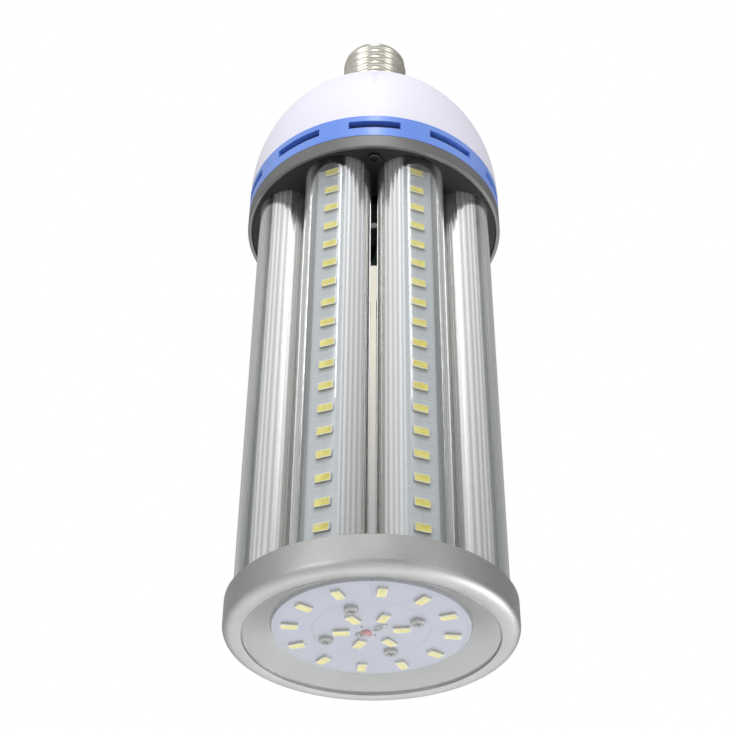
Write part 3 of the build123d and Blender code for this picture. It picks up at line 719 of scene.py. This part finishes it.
def extruded(loops, low, high):
    """Straight extrusion between two heights of an outline and the holes in it: a wall of quads round
    every loop, and both ends closed with triangles."""
    flat = np.concatenate(loops)
    count = len(flat)
    points = np.concatenate([np.concatenate([flat, np.full((count, 1), h)], 1) for h in (low, high)])
    faces = []
    start = 0
    for loop in loops:
        here = start + np.arange(len(loop))
        after = start + (np.arange(len(loop)) + 1) % len(loop)
        faces += np.stack([here, after, after + count, here + count], 1).tolist()
        start += len(loop)
    caps = tessellate_polygon([[Vector((x, y, 0)) for x, y in loop] for loop in loops])
    faces += [list(t) for t in caps]
    faces += [[i + count for i in reversed(t)] for t in caps]
    return points, faces


def at_bar(points, index):
    """Moves points from a bar's own measures to its place in the ring."""
    angle = math.radians(22.5 + 45 * index - 90)
    along = bar_ring + points[:, 0]
    across = points[:, 1]
    return np.stack([along * math.cos(angle) - across * math.sin(angle),
                     along * math.sin(angle) + across * math.cos(angle), points[:, 2]], 1)


along_bar = (1.0, 1.0, 0.0)
drawn_finish = two_noises("extruded_aluminium", (700.0, 2.0, along_bar), (0.70, 0.70, 0.69, 1),
                          (0.84, 0.84, 0.83, 1), (3600.0, 3.0, along_bar), (0.14, 0.24), 0.000002, 0.3,
                          metallic=0.95)

bar_loops = bar_section()
bar_points, bar_faces = extruded(bar_loops, bar_low, bar_high)
for i in range(bar_count):
    bar = piece(f"bar_extrusion_{i + 1}", at_bar(bar_points, i), bar_faces, drawn_finish, sharp=25.0)
    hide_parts(f"heat_sink_bar_{i + 1}")


# The strips: narrow aluminium-core boards with a pale solder mask, pushed under the lips of the deck,
# each with eighteen LED packages soldered across it at an even pitch.
strip_width = 0.0117
strip_thickness = 0.0010
strip_low = 0.0142
strip_high = 0.1702
strip_led_count = 18
first_led = 0.01857
led_pitch = 0.008777


def strip_lands(mask):
    """Copper fields along the strip: one each side of every package, parted by thin cuts."""
    where = mask.node("ShaderNodeUVMap", {"uv_map": "surface"})
    across, along, _ = mask.parts(where)
    edge = across.abs().below(0.0051)
    beat = ((along - first_led) / led_pitch).wrap(-0.5, 0.5).abs()
    cut = beat.below(0.475)
    side = across.abs().above(0.00018)
    return edge * cut * (1.0 - (1.0 - side) * beat.above(0.2))


strip_finish = solder_mask("strip_mask", strip_lands, paint(188, 191, 194), paint(196, 199, 202))
strip_face = deck_face + strip_thickness
half_strip = strip_width / 2
bevel = 0.00012
strip_outline = np.array([(deck_face, -half_strip), (strip_face - bevel, -half_strip),
                          (strip_face, -half_strip + bevel), (strip_face, half_strip - bevel),
                          (strip_face - bevel, half_strip), (deck_face, half_strip)])
strip_points, strip_faces = extruded([strip_outline], strip_low, strip_high)
strip_uv = strip_points[:, 1:3]

# a package's own z points away from the axis, its long side lies across the strip
upright = np.array([[0, 0, 1, strip_face], [1, 0, 0, 0], [0, 1, 0, 0], [0, 0, 0, 1]], float)
strip_places = np.repeat(upright[None], strip_led_count, 0)
strip_places[:, 2, 3] = first_led + led_pitch * np.arange(strip_led_count)
led_points, led_faces, led_kinds = copies(*package, strip_places)
for i in range(bar_count):
    number = str(i + 1)
    strip = piece("strip_board_" + number, at_bar(strip_points, i), strip_faces, strip_finish, uv=strip_uv)
    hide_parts("led_strip_" + number)
    leds = piece("strip_led_packages_" + number, at_bar(led_points, i), led_faces, led_finishes,
                 material_index=led_kinds, sharp=40.0)
    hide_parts("strip_leds_" + number)


# The covers: clear plastic extruded as a crowned arc with a hook along each edge. They clip over the
# lips of the bars. The clip edges are frosted and finely ribbed along their length, and seen at a low angle
# a cover mirrors more than it shows.
cover_crown = 0.0109
cover_thickness = 0.0011
hook_angle = 69.0
hook_inner = 0.01015
cover_edge = 73.9
clip_start = 0.0060
clip_end = 0.0078
clip_frost = 0.78
clip_rib_rate = 5600.0


def arc_through(first, crown, steps):
    """Points on the circle through (x, y), (crown, 0) and (x, -y), from y down to -y."""
    x, y = first
    rise = crown - x
    radius = (rise * rise + y * y) / (2 * rise)
    half = math.degrees(math.asin(y / radius))
    return arc(crown - radius, 0, radius, half, -half, steps)


def on_round(radius, degrees):
    return (radius * math.cos(math.radians(degrees)), radius * math.sin(math.radians(degrees)))


def clear_sheet(name, tint):
    """Clear plastic that refracts what is seen through it and lets light pass to what is behind it. A
    film lies over it where a cover is ribbed (|across| beyond clip_start) and where it is seen flat."""
    glassy = Finish(name)
    haze = glassy.noise(60.0, 2.0).ramp(0.4, 0.8, 0.0, 0.015)
    body = glassy.principled(base_color=tint, roughness=haze, ior=1.49, transmission_weight=1.0)
    facing = glassy.node("ShaderNodeLayerWeight", {}, {"Blend": 0.5}, "Facing")
    across = glassy.parts(glassy.node("ShaderNodeUVMap", {"uv_map": "surface"}))[0].abs()
    clip_edge = across.ramp(clip_start, clip_end, 0.0, clip_frost, "SMOOTHSTEP")
    rib = (across * clip_rib_rate).sine()
    # painted highlight and shade: the film's colour is lighter on the rib crests and darker in the grooves
    film_painted_rib_light = glassy.blend(rib.ramp(-1.0, 1.0), (0.60, 0.60, 0.61, 1), (0.93, 0.94, 0.95, 1))
    film = glassy.principled(base_color=film_painted_rib_light, metallic=0.7, roughness=0.15,
                             normal=glassy.bump(rib * clip_edge, 0.00004, 1.0))
    flat_view = facing.ramp(0.42, 0.76, 0.0, 0.8, "SMOOTHSTEP")
    share = flat_view.maximum(clip_edge)
    body = glassy.node("ShaderNodeMixShader", {}, {0: share, 1: body, 2: film})
    shadow = glassy.node("ShaderNodeLightPath", output="Is Shadow Ray")
    bounce = Level(glassy, shadow.socket.node.outputs["Is Diffuse Ray"])
    open_way = glassy.node("ShaderNodeBsdfTransparent", {}, {"Color": tint})
    through = shadow.maximum(bounce)
    return glassy.done(glassy.node("ShaderNodeMixShader", {}, {0: through, 1: body, 2: open_way}))


outer_arc = arc_through(on_round(bar_radius, cover_edge), cover_crown, 41)
inner_arc = arc_through(on_round(bar_radius - cover_thickness, hook_angle),
                        cover_crown - cover_thickness, 37)
hook = np.array([on_round(hook_inner, cover_edge), on_round(hook_inner, hook_angle)])
cover_outline = np.concatenate([outer_arc, mirrored(hook)[::-1], inner_arc[::-1], hook[::-1]])
cover_points, cover_faces = extruded([cover_outline], bar_low, bar_high)
cover_finish = clear_sheet("clear_cover", (0.97, 0.98, 0.98, 1))
for i in range(bar_count):
    cover = piece("cover_" + str(i + 1), at_bar(cover_points, i), cover_faces, cover_finish, sharp=30.0,
                  uv=cover_points[:, 1:3])
    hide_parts("strip_cover_" + str(i + 1))


# The collar: a short aluminium ring with an inward flange, sprayed like the foot. It holds the dark
# plate over the heads of the bars against the blue ring.
collar_radius = 0.0483
collar_low = 0.16985
collar_high = 0.17546
plate_top = 0.17345
collar_inner = 0.0470
flange_inner = 0.0462
low_bevel = 0.0003
high_bevel = 0.0002
collar_outline = [(collar_inner, collar_low), (collar_radius - low_bevel, collar_low),
                  (collar_radius, collar_low + low_bevel), (collar_radius, collar_high - high_bevel),
                  (collar_radius - high_bevel, collar_high), (flange_inner, collar_high),
                  (flange_inner, plate_top), (collar_inner, plate_top)]
collar_finish = sprayed_aluminium("sprayed_aluminium_collar", 0.20, 0.0)
collar = piece("collar_band", *revolved(collar_outline, 200), collar_finish)
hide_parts("collar_ring")


# The blue ring: glossy moulded plastic with ten air slots in its wall, and a spigot below that stands
# inside the collar. The wall is a grid of cells, and the slots are the cells left out.
wall_low = 0.17546
wall_high = 0.18546
wall_outer = 0.0483
wall_thickness = 0.0021
slot_low = 0.1794
slot_high = 0.1829
cells_per_pitch = 32
slot_cells = 20
slot_count = 10
slot_angle = 22.5
ring_spigot_inner = 0.0394
ring_spigot_outer = 0.0461
ring_spigot_high = 0.1770


def slotted_wall(columns, rows, solid, outer, inner):
    """Ring wall from a grid of cells: outer and inner skins where a cell is solid, and a face across
    the wall wherever a solid cell meets an empty one or the top or bottom edge."""
    turn = np.asarray(columns)
    steps = len(turn)
    levels = len(rows)
    grid = []
    for radius in (outer, inner):
        ring = np.stack([radius * np.cos(turn), radius * np.sin(turn)], 1)
        grid.append(np.concatenate([np.repeat(ring[:, None, :], levels, 1),
                                    np.repeat(np.asarray(rows)[None, :, None], steps, 0)], 2))
    points = np.stack(grid).reshape(-1, 3)

    def quads(cells, *corners):
        """A quad for each cell. A corner is its skin, and columns and rows on from the cell's own."""
        column, row = np.nonzero(cells)
        return np.stack([skin * steps * levels + (column + right) % steps * levels + row + up
                         for skin, right, up in corners], 1)

    padded = np.pad(solid, ((0, 0), (1, 1)))
    return points, np.concatenate([
        quads(solid, (0, 0, 0), (0, 1, 0), (0, 1, 1), (0, 0, 1)),
        quads(solid, (1, 0, 0), (1, 0, 1), (1, 1, 1), (1, 1, 0)),
        quads(padded[:, 1:] != padded[:, :-1], (0, 0, 0), (0, 1, 0), (1, 1, 0), (1, 0, 0)),
        quads(solid != np.roll(solid, 1, 0), (0, 0, 0), (0, 0, 1), (1, 0, 1), (1, 0, 0))])


cell_total = cells_per_pitch * slot_count
half_slot = math.radians(slot_angle / 2)
pitch_angle = math.tau / slot_count
slot_part = np.linspace(-half_slot, half_slot, slot_cells + 1)
web_part = np.linspace(half_slot, pitch_angle - half_slot, cells_per_pitch - slot_cells + 1)[1:-1]
one_pitch = np.concatenate([slot_part, web_part])
wall_columns = np.concatenate([one_pitch + k * pitch_angle - math.pi / 2 for k in range(slot_count)])
wall_rows = [wall_low, slot_low, slot_high, wall_high]
wall_solid = np.ones((cell_total, 3), bool)
wall_solid[np.arange(cell_total) % cells_per_pitch < slot_cells, 1] = False
wall_inner_radius = wall_outer - wall_thickness
wall_points, wall_faces = slotted_wall(wall_columns, wall_rows, wall_solid, wall_outer, wall_inner_radius)
spigot_outline = [(ring_spigot_inner, plate_top), (ring_spigot_outer, plate_top),
                  (ring_spigot_outer, wall_low), (wall_inner_radius, ring_spigot_high),
                  (ring_spigot_inner, ring_spigot_high)]
spigot_points, spigot_faces = revolved(spigot_outline, 160)
vent_points = np.concatenate([wall_points, spigot_points])
vent_faces = np.concatenate([wall_faces, spigot_faces + len(wall_points)])

blue_finish = two_noises("moulded_blue", (30.0, 2.0), paint(88, 132, 226), paint(112, 152, 236),
                         (2400.0, 2.0), (0.22, 0.34), 0.000006, 0.3, coat_weight=0.35,
                         coat_roughness=0.12)
vent = piece("vent_band", vent_points, vent_faces, blue_finish, sharp=30.0)
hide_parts("vent_ring")


# The dome: white plastic housing of the driver, moulded in one piece with its neck and the spigot
# inside the cap, satin, with a faint lavender cast and a ledge for the board. A shallow wedge-shaped mark
# is moulded into its front, and the same into its back, and its hollow is painted darker as painted shade.
dome_radius = 0.0482
dome_centre = 0.1871
dome_height = 0.0561
dome_wall = 0.0022
neck_radius = 0.0139
neck_inner = 0.0095
cap_low = 0.2465
spigot_radius = 0.01155
spigot_top = 0.262
dome_bevel = 0.0002
ledge_inner = 0.040
ledge_low = 0.1864
ledge_high = 0.1885
mark_low = 0.2045
mark_high = 0.2280
mark_half_width = 0.0030
mark_middle = 0.0002


def ellipse(radius, height, first, last, steps):
    """Points of the dome's elliptical outline between two angles in degrees."""
    angle = np.radians(np.linspace(first, last, steps))
    return np.stack([radius * np.cos(angle), dome_centre + height * np.sin(angle)], 1)


outer_end = math.degrees(math.acos(neck_radius / dome_radius))
inner_radius = dome_radius - dome_wall
inner_end = math.degrees(math.acos(neck_inner / inner_radius))
dome_outline = np.concatenate([
    [(inner_radius, wall_high), (dome_radius - dome_bevel, wall_high),
     (dome_radius, wall_high + dome_bevel)],
    ellipse(dome_radius, dome_height, 0, outer_end, 48),
    [(neck_radius, cap_low), (spigot_radius, cap_low),
     (spigot_radius, spigot_top), (neck_inner, spigot_top)],
    ellipse(inner_radius, dome_height - dome_wall, inner_end, 1.5, 40),
    [(ledge_inner, ledge_high), (ledge_inner, ledge_low), (inner_radius, ledge_low)]])
white = Finish("moulded_white")
white_flow = white.noise(22.0, 2.0)
white_skin = white.noise(1800.0, 2.0)
white_shade = white.blend(white_flow, paint(236, 233, 247), paint(242, 240, 251))
mark_x, _, mark_z = white.parts(white.place())
mark_side = mark_z.ramp(mark_low, mark_high, 0.0, mark_half_width) - (mark_x - mark_middle).abs()
mark = mark_side.ramp(0.0, 0.0005) * mark_z.below(mark_high)
# painted shade: the mark's hollow is blended towards a darker lavender grey
white_shade = white.blend(mark * 0.3, white_shade, paint(206, 205, 226))
white_relief = white_skin * 0.02 - mark * 0.8
white_finish = white.done(white.principled(
    base_color=white_shade, roughness=white_skin.ramp(0.3, 0.7, 0.4, 0.52), coat_weight=0.12,
    coat_roughness=0.3, normal=white.bump(white_relief, 0.0002, 0.5)))
dome = piece("dome_housing", *revolved(dome_outline, 220), white_finish, sharp=28.0)
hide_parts("driver_housing")


# The screw cap: nickel-plated brass sheet rolled into the round E27 thread, crimped over the dome's
# spigot, with a black insulator and a tinned centre contact.
cap_high = 0.270
skirt_radius = 0.0131
skirt_top = 0.26
thread_mean = 0.01262
thread_swing = 0.00050
thread_pitch = 0.003629
thread_low = 0.2510
thread_high = 0.2685
thread_fade_in = 0.0016
thread_fade_out = 0.0012
cap_inner = 0.01165
rim_hole = 0.0086


def threaded_shell(steps=96, rows=110):
    """Outside of the cap on a grid of angle and height: a mean radius plus a swing by the helix phase,
    fading out towards the skirt and the rim. A turned-in rim and a straight inside close it."""
    turn = np.linspace(0, math.tau, steps, endpoint=False)[:, None]
    height = np.linspace(cap_low, cap_high - 0.0008, rows)[None, :]
    fade = np.clip((height - thread_low) / thread_fade_in, 0, 1)
    fade = fade * np.clip((thread_high - height) / thread_fade_out, 0, 1)
    fade = fade * fade * (3 - 2 * fade)
    phase = math.tau * height / thread_pitch - turn
    plain = np.where(height < skirt_top, skirt_radius, thread_mean)
    radius = plain + fade * (thread_mean - plain + thread_swing * np.cos(phase))
    outer = np.stack([radius * np.cos(turn), radius * np.sin(turn), height + 0 * turn], 2)
    rim = [(thread_mean - 0.0004, cap_high - 0.0002), (thread_mean - 0.0011, cap_high),
           (rim_hole, cap_high), (rim_hole, cap_high - 0.001), (cap_inner, cap_high - 0.001),
           (cap_inner, cap_low)]
    rest = np.array([[(r * math.cos(t), r * math.sin(t), z) for r, z in rim] for t in turn[:, 0]])
    grid = np.concatenate([outer, rest], 1).transpose(1, 0, 2)
    return grid.reshape(-1, 3), net(len(grid), steps, True)


plated = Finish("nickel_plate")
rolled = plated.noise(900.0, 3.0, (0.15, 0.15, 1.0))
stain = plated.noise(160.0, 3.0)
nickel_shade = plated.blend(stain.ramp(0.35, 0.75), (0.74, 0.72, 0.65, 1), (0.62, 0.59, 0.51, 1))
nickel_finish = plated.done(plated.principled(
    base_color=nickel_shade, metallic=1.0, roughness=rolled.ramp(0.3, 0.7, 0.2, 0.32),
    normal=plated.bump(rolled, 0.00003, 0.3)))
cap = piece("screw_cap", *threaded_shell(), nickel_finish, sharp=40.0)
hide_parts("cap_shell")


# Screws and the dark plate at the heads of the bars are shown as the CAD has them: plated steel screws,
# nearly black where they are blackened, and a plate moulded of black plastic, screwed onto the bars.
def dress(name, material):
    """Gives a material to a piece that keeps its CAD shape."""
    mesh = nodes[name].data
    mesh.materials.clear()
    mesh.materials.append(material)


def plated_steel(name, tone):
    """Plated steel with faint turning marks."""
    return bare_metal(name, (tone, tone, tone * 0.98, 1), (1200.0, 2.0), (0.25, 0.4), 0.00002, 0.4)


def moulded_black(name, grain):
    """Black moulded plastic with a fine spark-eroded grain."""
    return one_noise(name, (grain, 3.0), paint(14, 15, 16), paint(26, 27, 28), (0.55, 0.75),
                     0.00004, 0.6)


# painted shade: the end board's pan-head screws get a dark tone of 0.24 against 0.6 for the plated foot
# screws
for name, finish, tone in (("end_board_screws", "pan_head_steel_painted_shade", 0.24),
                           ("foot_screws", "bar_screw_steel", 0.6),
                           ("head_screws", "head_screw_steel", 0.3),
                           ("collar_screws", "blackened_steel", 0.06),
                           ("fan_screws", "fan_screw_steel", 0.10),
                           ("driver_board_screws", "board_screw_steel", 0.58)):
    dress(name, plated_steel(finish, tone))
dress("head_plate", moulded_black("black_plate", 1500.0))


# The fan behind the air slots: black moulded frame and rotor, a stator wound with enamelled wire and a
# ground steel shaft. The rotor turns on the shaft.
ridge_rate = 9000.0


def wound_wire(name, shade_a, shade_b):
    """Enamelled winding wire: rounds lie side by side as fine ridges."""
    winding = Finish(name)
    ridge = (winding.parts(winding.place())[2] * ridge_rate).sine()
    colour = winding.blend(ridge.ramp(-1.0, 1.0), shade_a, shade_b)
    return winding.done(winding.principled(base_color=colour, roughness=0.3, coat_weight=0.4,
                                           normal=winding.bump(ridge, 0.00005, 0.7)))


dress("fan_frame", moulded_black("black_fan_frame", 1800.0))
dress("fan_stator", wound_wire("stator_winding", paint(140, 70, 30), paint(190, 110, 60)))
dress("fan_rotor", moulded_black("black_rotor", 2100.0))
dress("fan_shaft", plated_steel("ground_shaft", 0.4))


# The driver in the dome: a green laminate board with sleeved capacitors, a taped transformer and a choke
# wound with copper wire, all soldered to it.
def plain_part(name, shade_a, shade_b, rough, grain):
    """Painted, sleeved or laminated part with a fine grain and faint clouding."""
    return two_noises(name, (80.0, 2.0), shade_a, shade_b, (grain, 3.0), (rough - 0.06, rough + 0.08),
                      0.00003, 0.5)


for name, finish, shade_a, shade_b, rough, grain in (
        ("driver_board", "green_laminate", (24, 92, 50), (34, 108, 60), 0.4, 1200.0),
        ("driver_capacitors", "capacitor_sleeve", (24, 26, 40), (34, 36, 54), 0.3, 1500.0),
        ("driver_transformer", "taped_transformer", (190, 160, 50), (214, 184, 70), 0.4, 700.0)):
    dress(name, plain_part(finish, paint(*shade_a), paint(*shade_b), rough, grain))
dress("driver_choke", wound_wire("choke_winding", paint(160, 82, 34), paint(206, 124, 66)))


# Inside the screw cap: a black glass insulator, the tinned contact on it and a red sleeved lead from the
# driver's board, soldered to the contact.
dress("cap_insulator", moulded_black("black_glass", 600.0))
dress("cap_contact", plated_steel("tinned_contact", 0.7))
dress("cap_lead", plain_part("lead_sleeve", paint(168, 30, 26), paint(186, 44, 38), 0.45, 900.0))
